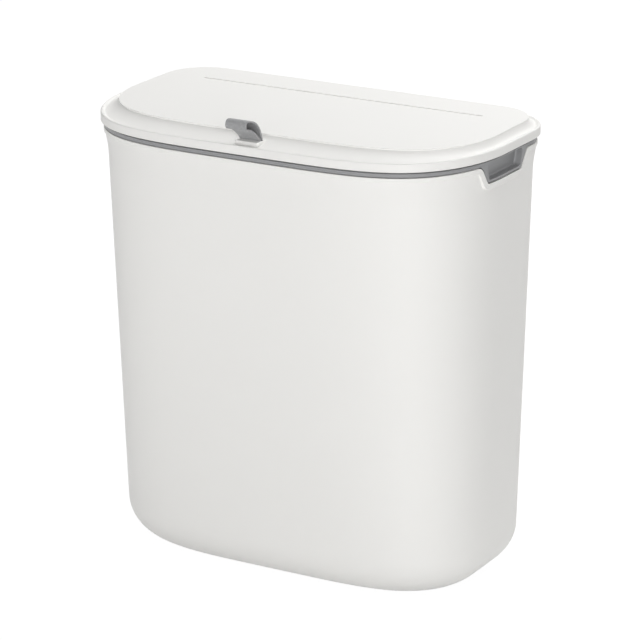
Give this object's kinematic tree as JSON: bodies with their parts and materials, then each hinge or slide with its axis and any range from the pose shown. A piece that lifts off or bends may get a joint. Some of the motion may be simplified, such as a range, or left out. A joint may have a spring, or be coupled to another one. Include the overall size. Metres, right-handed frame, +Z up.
{
  "type": "lidded waste bin",
  "caption": "Slim tapered kitchen waste bin with a grey bag ring in its mouth, finger pockets in its sides and a rear-hinged lid opened by a strap tab.",
  "frame": {"origin": "on the floor, under the middle of the overall box", "axes": "+Z up, -Y towards the front of the bin where the tab is, +X to the right of someone standing in front of it"},
  "size_m": [0.29, 0.182, 0.3281],
  "materials": {
    "white_plastic": "fine satin, warm white",
    "grey_plastic": "fine satin, mid grey",
    "strap": "soft satin, mid grey",
    "pin_steel": "plain bright",
    "bumper": "matte, off-white"
  },
  "bodies": {
    "bin": {"bin_body": "white_plastic"},
    "ring": {"bag_ring": "grey_plastic", "hinge_pin_left": "pin_steel", "hinge_pin_right": "pin_steel"},
    "lid": {"lid_shell": "white_plastic", "pull_tab": "strap", "tab_pin": "pin_steel", "tab_keeper": "white_plastic", "keeper_screw_left": "pin_steel", "keeper_screw_right": "pin_steel", "lid_bumper_front_left": "bumper", "lid_bumper_front_right": "bumper", "lid_bumper_rear_left": "bumper", "lid_bumper_rear_right": "bumper"}
  },
  "joints": [
    {"name": "ring_lift", "type": "slide", "parent": "bin", "child": "ring", "axis": [0, 0, 1], "range_m": [0, 0.05]},
    {"name": "lid_hinge", "type": "hinge", "parent": "ring", "child": "lid", "pos_m": [0, 0.0855, 0.3043], "axis": [-1, 0, 0], "range_deg": [0, 100]}
  ]
}
